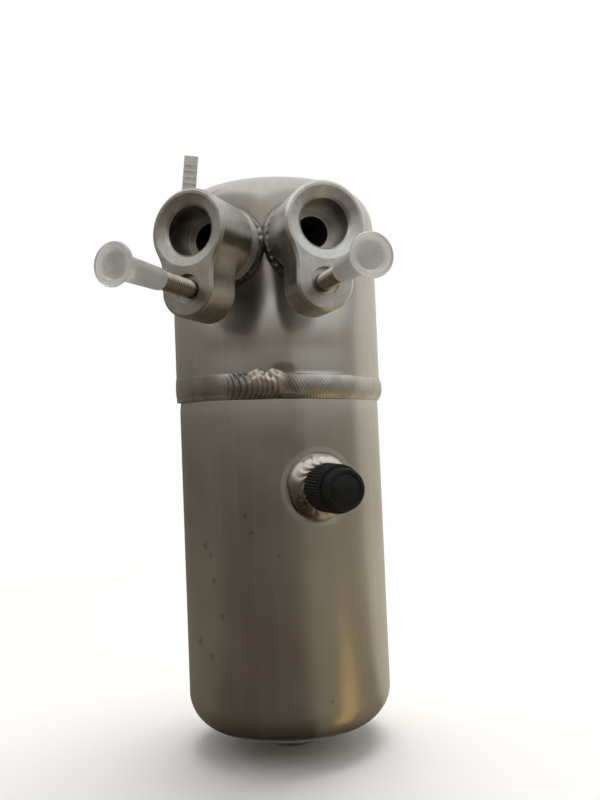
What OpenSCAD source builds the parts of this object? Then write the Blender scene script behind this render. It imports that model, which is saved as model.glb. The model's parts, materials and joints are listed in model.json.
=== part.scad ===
// Suction line accumulator: two drawn aluminium shells lapped and welded at a girth seam, with twin
// port blocks on pressed flats, a capped service port, and the return tube, baffle, strainer and
// drying bag inside. The origin is on the can's axis at the middle of the strap seat, +Z is up, and
// the ridge between the two flats faces -Y.

/* [Can] */
// Outside diameter of the lower shell
can_d = 76; // [70:1:90]
// Wall thickness of both shells
wall = 2; // [1.5:0.1:2.5]
// Outside diameter of the upper shell, which laps over the lower one
upper_d = 78; // [78:0.5:80]
// Height of the strap seat's middle above the lowest point of the domed base
strap_h = 49; // [40:1:60]
// Height of the seam's foot above the lowest point of the domed base
seam_h = 122; // [115:1:140]
// Height of the domed top above the seam's foot
upper_h = 85; // [82:1:100]
// Outside radius of the bottom corner
base_corner_r = 12; // [8:1:16]
// Outside radius of the domed base
base_dome_r = 80; // [60:5:140]
// Outside radius of the shoulder at the top
shoulder_r = 15; // [12:1:18]
// Outside radius of the domed top
top_dome_r = 150; // [100:5:250]
// Diameter of the locating pad pressed out under the base
pad_d = 20; // [14:1:26]
// How far the pad stands below the base
pad_h = 3.2; // [1.5:0.1:5]
// Radius of the pad's rounded edge
pad_edge_r = 1.6; // [0.5:0.1:2.5]

/* [Seam] */
// Height of the upper shell's edge above the seam's foot
edge_h = 4; // [3:0.5:6]
// Length of the lower shell's necked rim inside the upper shell
lap_l = 9; // [6:0.5:14]
// Radius of the bead's rounded face
bead_r = 6.5; // [5.5:0.5:8]
// How far the bead stands proud of the upper shell
bead_proud = 0.7; // [0.5:0.1:1.6]
// Height of the bead's crest above the upper shell's edge
bead_rise = 2.3; // [1.5:0.1:2.8]

/* [Flats] */
// Angle of each flat and port from the front ridge
port_angle = 21.3; // [20:0.1:24]
// How far the flats are pressed in from the upper shell's outside
flat_depth = 3.4; // [2.6:0.1:4]
// Height above the seam's foot at which the flats reach their full depth
flat_h = 37; // [32:1:42]
// How far the foot of each flat is pressed in
flat_foot_depth = 0.9; // [0.5:0.1:1.4]
// Height above the seam's foot at which the feet of the flats reach their depth
flat_foot_h = 19.5; // [19:0.5:24]
// Radius of the run-outs below each flat and its foot
flat_runout_r = 20; // [14:1:24]

/* [Port blocks] */
// Depth of both bores below the domed top
port_drop = 27.8; // [27:0.1:31]
// Distance of the sealing faces from the can's axis
face_reach = 61.7; // [58:0.1:68]
// Upward tilt of the inlet block
inlet_tilt = 2; // [0:0.5:3]
// Upward tilt of the outlet block
outlet_tilt = 0; // [0:0.5:3]
// Turn of the inlet block about its bore
inlet_clock = -1.5; // [-6:0.5:6]
// Turn of the outlet block about its bore
outlet_clock = -2.5; // [-6:0.5:6]
// Diameter of the boss round the bore
boss_d = 27.2; // [25.5:0.1:29]
// Diameter of the bore for the line's tube end
bore_d = 16.2; // [14:0.1:18]
// Depth of the bore from the sealing face
bore_l = 14; // [10:0.5:16]
// Diameter of the dished seat at the bore's mouth
dish_d = 23.8; // [20:0.1:24.2]
// Depth of the dished seat
dish_depth = 1; // [0.6:0.1:2]
// Edge chamfer between the seat and the bore
bore_lip = 0.8; // [0.3:0.1:1.2]
// Diameter of the passage from the bore into the can
passage_d = 11; // [9:0.5:12]
// Diameter of the neck that passes through the flat
neck_d = 24; // [20:0.5:24.5]
// Length of the neck between the boss and the flat
neck_l = 7.1; // [7:0.1:9]
// Width of the weld round the neck
neck_weld_w = 1.6; // [1:0.1:2]
// Height of that weld
neck_weld_h = 1.6; // [1:0.1:2.4]
// Edge chamfer of the blocks
block_chamfer = 0.8; // [0.4:0.1:1.2]

/* [Studs] */
// Distance of the stud's axis below the bore
stud_drop = 19.1; // [18:0.1:22]
// Radius of the lobe that carries the stud
lobe_r = 9.5; // [8:0.1:10.5]
// Thickness of the lobe
lobe_t = 14.5; // [12:0.5:16]
// Radius of the blend between the lobe and the boss
blend_r = 16; // [12:1:20]
// Diameter of the stud
stud_d = 6; // [5:0.5:8]
// Length of bare stud between the face and the protector
stud_bare_l = 15; // [12:0.5:18]
// Length of the stud's end inside the protector
stud_pilot_l = 11; // [8:0.5:14]
// Depth of the stud in the lobe
stud_root_l = 11; // [8:0.5:12]
// Diameter of the spot face round the stud
spot_d = 9.2; // [8.5:0.1:11]
// Depth of the spot face
spot_depth = 2; // [0.5:0.1:3]

/* [Stud protectors] */
// Outside diameter of the protector's tube at its flange
guard_d = 7.7; // [7.2:0.1:9]
// Outside diameter of the protector's tube at its mouth
guard_mouth_d = 6.9; // [6.6:0.1:8]
// Length of the protector
guard_l = 23; // [20:0.1:28]
// Diameter of the end flange
guard_flange_d = 13; // [11:0.1:15]
// Thickness of the end flange
guard_flange_t = 2.2; // [1.6:0.1:4]

/* [Service port] */
// Angle of the port from the front ridge
service_angle = 25.1; // [15:0.1:40]
// Depth of the port's axis below the seam's foot
service_drop = 28.2; // [24:0.1:34]
// Diameter of the port's shank through the wall
shank_d = 14; // [13:0.5:15]
// Diameter of the port's nose under the cap
nose_d = 11.6; // [11:0.1:12]
// Distance of the nose's end from the can's outside
nose_reach = 16.4; // [15:0.1:18]
// Diameter of the core's bore in the nose
core_d = 5.2; // [4.8:0.1:5.6]
// Width of the weld round the shank
service_weld_w = 5; // [3:0.1:6]
// Distance of the cap's skirt from the can's outside
cap_gap = 5.4; // [5:0.1:7]
// Length of the cap
cap_l = 15.8; // [15:0.1:18]
// Diameter of the cap at its skirt
cap_d = 16.6; // [15.8:0.1:18]
// Diameter of the cap at its end
cap_end_d = 15; // [14:0.1:16]
// Number of grip grooves round the cap
cap_grooves = 48; // [24:1:60]

/* [Return tube] */
// Outside diameter of the return tube
tube_d = 13; // [12:0.5:14]
// Wall thickness of the return tube
tube_wall = 1; // [0.8:0.1:1.4]
// Bend radius of the return tube
bend_r = 13; // [12:0.5:14]
// Height of the baffle's rim above the seam's foot
baffle_h = 33; // [28:1:38]
// Diameter of the baffle
baffle_d = 62; // [56:1:64]

/* [Cable tie] */
// Width of the tie
tie_w = 4.8; // [3:0.1:5]
// Thickness of the tie
tie_t = 1.3; // [1:0.1:2]
// Length of the cut tail
tail_l = 32; // [15:1:40]

/* [Hidden] */
$fn = 96;
// Gap between pieces that slide or push together
slip = 0.05;
// Gap round loose and soft pieces
loose = 0.2;
// Overshoot of cutters past the faces they cut
over = 1;
can_r = can_d / 2;
upper_r = upper_d / 2;
base_z = -strap_h;
seam_z = base_z + seam_h;
edge_z = seam_z + edge_h;
rim_z = edge_z + lap_l;
top_z = seam_z + upper_h;
port_z = top_z - port_drop;
service_z = seam_z - service_drop;
flat_reach = upper_r - flat_depth;
bore_r = bore_d / 2;
boss_r = boss_d / 2;
neck_r = neck_d / 2;
tube_r = tube_d / 2;
// Length of a block's boss, and of the whole block to the end of its neck inside the shell
boss_l = face_reach - flat_reach - neck_l;
block_l = face_reach - flat_reach + wall;
aluminium = [0.66, 0.65, 0.62];
machined = [0.72, 0.72, 0.71];
bead_metal = [0.6, 0.6, 0.59];
zinc = [0.62, 0.6, 0.52];
clear_plastic = [0.8, 0.79, 0.75];
black_plastic = [0.05, 0.05, 0.06];
brass = [0.72, 0.58, 0.3];
felt = [0.85, 0.83, 0.78];

// Height of a domed end from its corner's centre plane to its pole
function dome_h(r, corner, dome) = dome - sqrt(pow(dome - corner, 2) - pow(r - corner, 2));

// Half section of a round-cornered domed can end with its pole at the origin, pole down
module dome_section(r, corner, dome, h) {
    rise = dome_h(r, corner, dome);
    reach = dome + over;
    lean = (r - corner) / (dome - corner);
    translate([r - corner, rise]) circle(corner);
    translate([0, rise]) square([r, h - rise]);
    intersection() {
        translate([0, dome]) circle(dome);
        polygon([[0, dome], [0, -over], [lean * reach, -over],
                 [lean * reach, dome - reach * sqrt(1 - lean * lean)]]);
    }
}

// Lower shell

// Half section of the lower shell's outside, or of its hollow when inset by the wall
module lower_section(inset) {
    side_r = can_r - inset;
    rim_r = upper_r - wall - slip - inset;
    rim_end = rim_z + (inset > 0 ? over : 0);
    translate([0, base_z + inset])
        dome_section(side_r, base_corner_r - inset, base_dome_r - inset, seam_h - inset);
    polygon([[0, seam_z - over], [side_r, seam_z - over], [side_r, seam_z], [rim_r, edge_z],
             [rim_r, rim_end], [0, rim_end]]);
    translate([0, base_z - pad_h + inset]) pad_section(pad_d / 2 - inset, max(pad_edge_r - inset, slip));
}

// Half section of the pad, with a rounded lower edge
module pad_section(r, edge) {
    square([r - edge, pad_h + wall]);
    translate([0, edge]) square([r, pad_h + wall - edge]);
    translate([r - edge, edge]) circle(edge);
}

module lower_shell() {
    color(aluminium) difference() {
        rotate_extrude() difference() {
            lower_section(0);
            lower_section(wall);
        }
        at_service() cylinder(h = can_r + over, d = shank_d + 2 * slip);
    }
}

// Upper shell

// Half section of the upper shell's outside, or of its hollow when inset by the wall
module upper_section(inset) {
    h = top_z - inset - edge_z + (inset > 0 ? over : 0);
    translate([0, top_z - inset]) mirror([0, 1])
        dome_section(upper_r - inset, shoulder_r - inset, top_dome_r - inset, h);
}

// Section of a pressed flat from a height up, with a rounded run-out below it
module flat_section(reach, start) {
    translate([reach, start]) square([upper_r, top_z - start]);
    translate([reach + flat_runout_r, start]) circle(flat_runout_r);
}

// Cutter that presses one flat and its shallow foot
module flat_cutter(inset) {
    rotate([90, 0, 0]) linear_extrude(height = 2 * upper_d, center = true) {
        flat_section(flat_reach - inset, seam_z + flat_h);
        flat_section(upper_r - flat_foot_depth - inset, seam_z + flat_foot_h);
    }
}

// Solid form of the upper shell, or of its hollow when inset by the wall
module upper_form(inset) {
    difference() {
        rotate_extrude() upper_section(inset);
        for (side = [-1, 1])
            rotate([0, 0, side * port_angle - 90]) flat_cutter(inset);
    }
}

module upper_shell() {
    color(aluminium) difference() {
        upper_form(0);
        upper_form(wall);
        at_inlet() neck_hole();
        at_outlet() neck_hole();
    }
}

// Hole in a flat for a block's neck
module neck_hole() {
    translate([0, 0, -block_l - wall]) cylinder(h = 2 * wall + block_l - boss_l, r = neck_r + slip);
}

module girth_weld() {
    crest_r = upper_r + bead_proud;
    color(bead_metal) rotate_extrude() difference() {
        translate([crest_r - bead_r, edge_z + bead_rise]) circle(bead_r);
        translate([0, seam_z - bead_r]) square([can_r, bead_r]);
        lower_section(0);
        upper_section(0);
    }
}

// Places of the two ports: origin at the sealing face on the bore's axis, +Z out, +Y up

module at_port(angle, tilt, clock) {
    translate([0, 0, port_z]) rotate([0, 0, angle]) rotate([90, 0, 0])
        translate([0, 0, face_reach]) rotate([-tilt, 0, 0]) rotate([0, 0, clock]) children();
}

module at_inlet() {
    at_port(-port_angle, inlet_tilt, inlet_clock) children();
}

module at_outlet() {
    at_port(port_angle, outlet_tilt, outlet_clock) children();
}

module at_stud() {
    translate([0, -stud_drop, 0]) children();
}

// Port blocks

// Centre of each blend between boss and lobe, sideways from the bore and below it
blend_x = lobe_r + blend_r;
blend_y = sqrt(pow(boss_r + blend_r, 2) - blend_x * blend_x);
// How far the cuts along the chamfered edge run past each other
cut_lap = 0.3;

// Outline of the sealing face: boss, lobe and the blends between them
module block_outline() {
    circle(boss_r);
    translate([0, -stud_drop]) circle(lobe_r);
    difference() {
        polygon([[-blend_x, -blend_y], [-lobe_r, -blend_y], [-lobe_r, -stud_drop], [lobe_r, -stud_drop],
                 [lobe_r, -blend_y], [blend_x, -blend_y], [0, 0]]);
        for (s = [-1, 1])
            translate([s * blend_x, -blend_y]) circle(blend_r);
    }
}

// Section of the cut that chamfers an edge at a radius; s is -1 for a hollow edge
module chamfer_section(r, s) {
    rim = r + s * over;
    polygon([[r - s * (block_chamfer + over), over], [rim, over], [rim, -block_chamfer - over]]);
}

// Cutters for the chamfer round the sealing face. Those of the boss, the lobe and the straight sides
// run on past the points where they meet their neighbours, which start late, so that no fin is left.
module face_chamfer() {
    turn = atan(blend_y / blend_x);
    late = atan(cut_lap / blend_r);
    boss_turn = turn + atan(2 * cut_lap / boss_r);
    lobe_turn = atan(2 * cut_lap / lobe_r);
    rotate([0, 0, -boss_turn]) rotate_extrude(angle = 180 + 2 * boss_turn) chamfer_section(boss_r, 1);
    at_stud() rotate([0, 0, 180 - lobe_turn])
        rotate_extrude(angle = 180 + 2 * lobe_turn) chamfer_section(lobe_r, 1);
    for (flip = [0, 1])
        mirror([flip, 0, 0]) translate([0, -blend_y, 0]) {
            translate([0, 2 * cut_lap, 0]) rotate([90, 0, 0])
                linear_extrude(height = stud_drop - blend_y + cut_lap) chamfer_section(lobe_r, 1);
            translate([blend_x, 0, 0]) rotate([0, 0, 180 - turn + late])
                rotate_extrude(angle = turn - 2 * late) chamfer_section(blend_r, -1);
        }
}

// Block with its bore, passage, spot face and stud hole
module port_block() {
    color(machined) difference() {
        union() {
            translate([0, 0, -lobe_t]) linear_extrude(height = lobe_t) block_outline();
            translate([0, 0, -boss_l]) cylinder(h = boss_l - lobe_t + over, r = boss_r);
            translate([0, 0, -block_l]) cylinder(h = block_l - boss_l + over, r = neck_r);
        }
        face_chamfer();
        rotate_extrude() polygon([
            [0, over], [dish_d / 2, over], [dish_d / 2, 0], [bore_r + bore_lip, -dish_depth],
            [bore_r, -dish_depth - bore_lip], [bore_r, -bore_l], [0, -bore_l]
        ]);
        translate([0, 0, -block_l - over]) cylinder(h = block_l, d = passage_d);
        at_stud() {
            translate([0, 0, -spot_depth]) cylinder(h = spot_depth + over, d = spot_d);
            translate([0, 0, -spot_depth - stud_root_l])
                cylinder(h = stud_root_l + spot_depth, r = stud_root_r + slip);
        }
    }
}

module inlet_block() {
    at_inlet() port_block();
}

module outlet_block() {
    at_outlet() difference() {
        port_block();
        translate([0, 0, -block_l - over]) cylinder(h = tube_socket_l + over, r = tube_r + slip);
    }
}

// Bead between a flat and the neck, with a root that fills the wedge under a tilted block. It keeps
// clear of the ridge between the flats and of the tie.
module neck_weld() {
    foot = flat_reach - face_reach;
    width = min(neck_weld_w, flat_reach * tan(port_angle) - neck_r - loose);
    crown = min(neck_weld_h, neck_l - tie_w - 2 * loose);
    face_r = (width * width + crown * crown) / (2 * crown);
    color(bead_metal) rotate_extrude() intersection() {
        union() {
            translate([neck_r, foot + crown - face_r]) circle(face_r);
            translate([neck_r, foot - wall]) square([width, wall]);
        }
        translate([neck_r, foot - wall]) square([width, wall + crown]);
    }
}

module inlet_weld() {
    difference() {
        at_inlet() neck_weld();
        color(bead_metal) upper_form(0);
    }
}

module outlet_weld() {
    difference() {
        at_outlet() neck_weld();
        color(bead_metal) upper_form(0);
    }
}

// Studs and their protectors

stud_r = stud_d / 2;
// How much thinner the stud is at its root in the lobe and at its end in the protector
root_inset = 0.3;
pilot_inset = 0.4;
stud_root_r = stud_r - root_inset;
stud_pilot_r = stud_r - pilot_inset;
stud_tip = 1;
// Height of the root's shoulder above the sealing face
shoulder_h = 0.5;

module stud() {
    color(zinc) at_stud() rotate_extrude() polygon([
        [0, -spot_depth - stud_root_l],
        [stud_root_r, -spot_depth - stud_root_l],
        [stud_root_r, shoulder_h],
        [stud_r, shoulder_h],
        [stud_r, stud_bare_l],
        [stud_pilot_r, stud_bare_l],
        [stud_pilot_r, stud_bare_l + stud_pilot_l - stud_tip],
        [stud_pilot_r - stud_tip, stud_bare_l + stud_pilot_l],
        [0, stud_bare_l + stud_pilot_l]
    ]);
}

module inlet_stud() {
    at_inlet() stud();
}

module outlet_stud() {
    at_outlet() stud();
}

// Push-on protector: blind tube with a domed end flange
module stud_guard() {
    mouth = stud_bare_l + slip;
    end = mouth + guard_l;
    flange = end - guard_flange_t;
    flange_r = guard_flange_d / 2;
    crown = guard_flange_t / 3;
    color(clear_plastic) at_stud() difference() {
        union() {
            translate([0, 0, mouth]) cylinder(h = guard_l - crown, d1 = guard_mouth_d, d2 = guard_d);
            translate([0, 0, flange]) cylinder(h = crown, r1 = flange_r - crown / 2, r2 = flange_r);
            translate([0, 0, flange + crown]) cylinder(h = crown, r = flange_r);
            translate([0, 0, end - crown]) cylinder(h = crown, r1 = flange_r, r2 = flange_r - 2 * crown);
        }
        translate([0, 0, mouth - over]) cylinder(h = stud_pilot_l + 2 * over, r = stud_pilot_r + slip);
    }
}

module inlet_stud_cap() {
    at_inlet() stud_guard();
}

module outlet_stud_cap() {
    at_outlet() stud_guard();
}

// Service port: origin on the can's axis, +Z out along the port

module at_service() {
    translate([0, 0, service_z]) rotate([0, 0, service_angle]) rotate([90, 0, 0]) children();
}

shank_r = shank_d / 2;
nose_r = nose_d / 2;
nose_end = can_r + nose_reach;
// Room between the shank's shoulder and the cap's skirt
skirt_room = 0.4;
// How far the shank reaches into the can
shank_inside = 1;
cap_skirt = can_r + cap_gap;
cap_end = cap_skirt + cap_l;
shank_end = cap_skirt - skirt_room;
shank_root = can_r - wall - shank_inside;
// Coupler groove round the nose
groove_depth = 0.8;
groove_l = 2.4;
core_r = core_d / 2;
core_l = 9;
// How far the core lies below the nose's end
core_sink = 1;
core_top = nose_end - core_sink;
core_seat = core_top - core_l;
bleed_r = 1.6;
seal_t = 0.9;
cap_roof = nose_end + seal_t;

module service_port() {
    groove = (shank_end + core_top) / 2;
    color(machined) at_service() rotate_extrude() difference() {
        polygon([
            [0, shank_root], [shank_r, shank_root], [shank_r, shank_end], [nose_r, shank_end],
            [nose_r, groove - groove_l], [nose_r - groove_depth, groove - groove_l / 2],
            [nose_r - groove_depth, groove + groove_l / 2], [nose_r, groove + groove_l],
            [nose_r, nose_end - groove_depth], [nose_r - groove_depth, nose_end], [0, nose_end]
        ]);
        square([bleed_r, nose_end + over]);
        translate([0, core_seat]) square([core_r + slip, core_l + 2 * over]);
    }
}

module service_weld() {
    crown = shank_end - can_r;
    color(bead_metal) difference() {
        at_service() rotate_extrude() difference() {
            intersection() {
                translate([shank_r, can_r - wall]) square([service_weld_w, crown + wall - slip]);
                translate([shank_r + service_weld_w - crown - wall, can_r - wall]) circle(crown + wall);
            }
            square([shank_r, can_r + crown]);
        }
        translate([0, 0, service_z - can_r]) cylinder(h = can_d, r = can_r);
    }
}

// Side of the square cutter that makes a grip groove
grip_w = 0.55;
// Length of the cap's plain band at its end
plain_l = 2.6;

// Tapered dust cap with axial grip grooves and a raised rim on its end
module service_cap() {
    rim_w = 1.6;
    rim_h = 0.5;
    edge = 0.6;
    grip_l = cap_l - plain_l;
    taper = (cap_d - cap_end_d) / 2;
    pocket_r = nose_r + loose;
    color(black_plastic) at_service() difference() {
        rotate_extrude() polygon([
            [pocket_r, cap_skirt], [cap_d / 2, cap_skirt], [cap_end_d / 2, cap_end - edge],
            [cap_end_d / 2 - edge, cap_end], [cap_end_d / 2 - rim_w, cap_end],
            [cap_end_d / 2 - rim_w - rim_h, cap_end - rim_h], [0, cap_end - rim_h],
            [0, cap_roof], [pocket_r, cap_roof]
        ]);
        for (i = [0:cap_grooves - 1])
            rotate([0, 0, i * 360 / cap_grooves])
                translate([cap_d / 2, 0, cap_skirt - over])
                    rotate([0, -atan(taper / cap_l), 0]) rotate([0, 0, 45])
                        cube([grip_w, grip_w, 2 * (grip_l + over)], center = true);
    }
}

module service_cap_seal() {
    color(black_plastic) at_service() rotate_extrude()
        translate([core_r, nose_end]) square([nose_r - core_r - groove_depth, seal_t]);
}

// Valve core in the port's nose

core_wall = 0.7;
core_inner_r = core_r - core_wall;
pin_r = 0.8;
pin_stroke = 1.5;
poppet_t = 1.2;
guide_t = 2;
spring_wire_r = 0.25;
spring_turns = 5;
coil_steps = 16;
wire_sides = 8;

module valve_core() {
    color(brass) at_service() rotate_extrude() difference() {
        translate([0, core_seat]) square([core_r, core_l]);
        translate([0, core_seat - over]) square([core_inner_r, core_l - guide_t + over]);
        translate([0, core_seat]) square([pin_r + slip, core_l + over]);
    }
}

module valve_seal() {
    color(black_plastic) at_service() rotate_extrude()
        translate([pin_r + slip, core_top - guide_t - seal_t])
            square([core_inner_r - pin_r - 2 * slip, seal_t]);
}

// Pin with the poppet that its spring holds against the seal
module valve_pin() {
    poppet = core_top - guide_t - seal_t - poppet_t;
    color(brass) at_service() rotate_extrude() {
        translate([0, core_seat + pin_stroke]) square([pin_r, core_l - pin_stroke - loose]);
        translate([0, poppet]) square([core_inner_r - loose, poppet_t - slip]);
    }
}

// One point ring of a coil's wire, at a step along the helix
function wire_ring(i, h, coil_r, wire_r, steps) = [
    for (j = [0:wire_sides - 1])
        let (a = 360 * i / coil_steps, b = 360 * j / wire_sides, r = coil_r + wire_r * cos(b))
            [r * cos(a), r * sin(a), h * i / steps + wire_r * sin(b)]
];

// Helical wire round the Z axis
module coil(wire_r, coil_r, h, turns) {
    steps = turns * coil_steps;
    last = steps * wire_sides;
    points = [for (i = [0:steps]) each wire_ring(i, h, coil_r, wire_r, steps)];
    sides = [
        for (i = [0:steps - 1], j = [0:wire_sides - 1])
            let (a = i * wire_sides + j, b = i * wire_sides + (j + 1) % wire_sides)
                each [[a, a + wire_sides, b], [b, a + wire_sides, b + wire_sides]]
    ];
    ends = [[for (j = [0:wire_sides - 1]) j], [for (j = [0:wire_sides - 1]) last + wire_sides - 1 - j]];
    polyhedron(points, concat(sides, ends));
}

// Return spring round the pin, between the core's foot and the poppet
module valve_spring() {
    bottom = core_seat + spring_wire_r;
    top = core_top - guide_t - seal_t - poppet_t - spring_wire_r - slip;
    color(zinc) at_service() translate([0, 0, bottom])
        coil(spring_wire_r, pin_r + spring_wire_r + slip, top - bottom, spring_turns);
}

// Return tube in the outlet port's plane: X out towards the outlet, Z up

tube_socket_l = 7;
leg_out = 14;
leg_in = leg_out - 2 * bend_r;
filter_h = 10;
floor_gap = 1;
tube_low = base_z + wall + floor_gap + filter_h;
turn_z = tube_low + tube_r + bend_r;
baffle_z = seam_z + baffle_h;
baffle_rise = 6;
baffle_t = 1.2;
mouth_drop = 5;
mouth_z = baffle_z - mouth_drop;
bleed_hole_r = 1;
// Depth of the siphon-break hole below the top bend
siphon_drop = 6;

module in_tube_plane() {
    rotate([0, 0, port_angle - 90]) children();
}

// Course of the return tube at a given radius: mouth, riser, bottom bend, outlet leg and top bend
module tube_course(r, ends) {
    end_x = face_reach - block_l + tube_socket_l;
    translate([leg_in, 0, turn_z]) cylinder(h = mouth_z - turn_z + ends, r = r);
    translate([leg_in + bend_r, 0, turn_z]) rotate([90, 0, 0]) rotate([0, 0, 180])
        rotate_extrude(angle = 180) translate([bend_r, 0]) circle(r);
    translate([leg_out, 0, turn_z]) cylinder(h = port_z - bend_r - turn_z, r = r);
    translate([leg_out + bend_r, 0, port_z - bend_r]) rotate([90, 0, 0]) rotate([0, 0, 90])
        rotate_extrude(angle = 90) translate([bend_r, 0]) circle(r);
    translate([leg_out + bend_r, 0, port_z]) rotate([0, 90, 0])
        cylinder(h = end_x - leg_out - bend_r + ends, r = r);
}

module pickup_tube() {
    siphon_z = port_z - bend_r - siphon_drop;
    color(aluminium) in_tube_plane() difference() {
        tube_course(tube_r, 0);
        tube_course(tube_r - tube_wall, over);
        translate([leg_in + bend_r, 0, tube_low - over])
            cylinder(h = tube_wall + 2 * over, r = bleed_hole_r);
        translate([leg_out, 0, siphon_z]) rotate([90, 0, 0])
            cylinder(h = tube_d, r = bleed_hole_r);
    }
}

// Dished deflector that hangs on the outlet leg over the riser's mouth
module baffle() {
    skirt = 3;
    color(aluminium) in_tube_plane() difference() {
        rotate_extrude() polygon([
            [0, baffle_z + baffle_rise], [baffle_d / 2 - skirt, baffle_z], [baffle_d / 2, baffle_z - skirt],
            [baffle_d / 2, baffle_z - skirt + baffle_t], [baffle_d / 2 - skirt, baffle_z + baffle_t],
            [0, baffle_z + baffle_rise + baffle_t]
        ]);
        translate([leg_out, 0, baffle_z - skirt]) cylinder(h = baffle_rise + 2 * skirt, r = tube_r + slip);
    }
}

// Strainer under the oil bleed hole

cage_lip = 2.5;
cage_r = tube_r + cage_lip;
cage_plate_t = 1.5;
cage_posts = 6;
post_r = 0.9;
screen_t = 0.4;

module at_filter() {
    in_tube_plane() translate([leg_in + bend_r, 0, tube_low]) children();
}

module oil_filter_cage() {
    saddle_h = tube_r;
    color(clear_plastic) difference() {
        at_filter() {
            translate([0, 0, -cage_plate_t]) cylinder(h = saddle_h + cage_plate_t, r = cage_r);
            translate([0, 0, -filter_h]) cylinder(h = cage_plate_t, r = cage_r);
            for (i = [0:cage_posts - 1])
                rotate([0, 0, i * 360 / cage_posts]) translate([cage_r - 2 * post_r, 0, -filter_h])
                    cylinder(h = filter_h, r = post_r);
        }
        in_tube_plane() translate([leg_in + bend_r, 0, turn_z]) rotate([90, 0, 0]) rotate([0, 0, 180])
            rotate_extrude(angle = 180) translate([bend_r, 0]) circle(tube_r + slip);
        at_filter() translate([0, 0, -cage_plate_t - over])
            cylinder(h = cage_plate_t + 3 * over, r = bleed_hole_r);
    }
}

module oil_filter_screen() {
    screen_r = cage_r - 3 * post_r - loose;
    color(zinc) at_filter() translate([0, 0, cage_plate_t - filter_h]) difference() {
        cylinder(h = filter_h - 2 * cage_plate_t, r = screen_r);
        translate([0, 0, -over]) cylinder(h = filter_h, r = screen_r - screen_t);
    }
}

// Drying bag strapped against the two legs of the tube

bag_drop = 12;
bag_l = 58;
bag_high = seam_z - bag_drop;
bag_low = bag_high - bag_l;
bag_r = 9;
bag_half_w = 14;
bag_y = tube_r + bag_r + loose;
crimp_l = 7;
crimp_t = 2.4;
strap_w = 5;
strap_t = 1;

// Pouch with a flat crimped seam at each end
module desiccant_bag() {
    color(felt) in_tube_plane() translate([0, bag_y, 0]) {
        translate([0, 0, bag_low]) linear_extrude(height = bag_l) {
            for (x = [-bag_half_w, bag_half_w])
                translate([x, 0]) circle(bag_r);
            square([2 * bag_half_w, 2 * bag_r], center = true);
        }
        translate([-bag_half_w, -crimp_t / 2, bag_low - crimp_l])
            cube([2 * bag_half_w, crimp_t, bag_l + 2 * crimp_l]);
    }
}

// Outline round the bag and both legs, grown by a margin
module strap_outline(margin) {
    hull() {
        for (x = [leg_in, leg_out])
            translate([x, 0]) circle(tube_r + margin, $fn = 48);
        for (x = [-bag_half_w, bag_half_w])
            translate([x, bag_y]) circle(bag_r + margin, $fn = 48);
    }
}

module bag_strap() {
    color(black_plastic) in_tube_plane() translate([0, 0, (bag_low + bag_high) / 2])
        linear_extrude(height = strap_w) difference() {
            strap_outline(loose + strap_t);
            strap_outline(loose);
        }
}

// Cable tie round the inlet block's neck, behind the boss

tie_head_w = 6;
tie_head_h = 5.6;
tie_rib_pitch = 2.2;
tie_rib_h = 0.5;
// Place of the tie's head round the neck, from the bore's right-hand side
tie_head_angle = 174;
// Twist of the tail about its own length
tail_turn = 120;

module cable_tie() {
    loop_r = neck_r + slip;
    ribs = floor(tail_l / tie_rib_pitch);
    color(clear_plastic) at_inlet() rotate([0, 0, -inlet_clock])
        translate([0, 0, -boss_l - loose - tie_w]) rotate([0, 0, tie_head_angle]) {
            difference() {
                union() {
                    cylinder(h = tie_w, r = loop_r + tie_t);
                    translate([0, -tie_head_w / 2, 0]) cube([loop_r + tie_head_h, tie_head_w, tie_w]);
                }
                translate([0, 0, -over]) cylinder(h = tie_w + 2 * over, r = loop_r);
            }
            translate([loop_r + tie_head_h / 2, 0, tie_w / 2])
                rotate([0, 0, 180]) rotate([0, tail_turn, 0]) translate([-tie_t / 2, 0, -tie_w / 2]) {
                    cube([tie_t, tail_l, tie_w]);
                    for (i = [2:ribs - 1])
                        translate([-tie_rib_h, i * tie_rib_pitch, 0])
                            cube([2 * tie_rib_h, tie_rib_pitch / 2, tie_w]);
                }
        }
}

lower_shell();
upper_shell();
girth_weld();
inlet_block();
outlet_block();
inlet_weld();
outlet_weld();
inlet_stud();
outlet_stud();
inlet_stud_cap();
outlet_stud_cap();
service_port();
service_weld();
service_cap();
service_cap_seal();
valve_core();
valve_seal();
valve_pin();
valve_spring();
pickup_tube();
baffle();
oil_filter_cage();
oil_filter_screen();
desiccant_bag();
bag_strap();
cable_tie();
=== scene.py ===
import json
import math

import bmesh
import bpy
import numpy as np
from mathutils import Matrix, Vector


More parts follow.
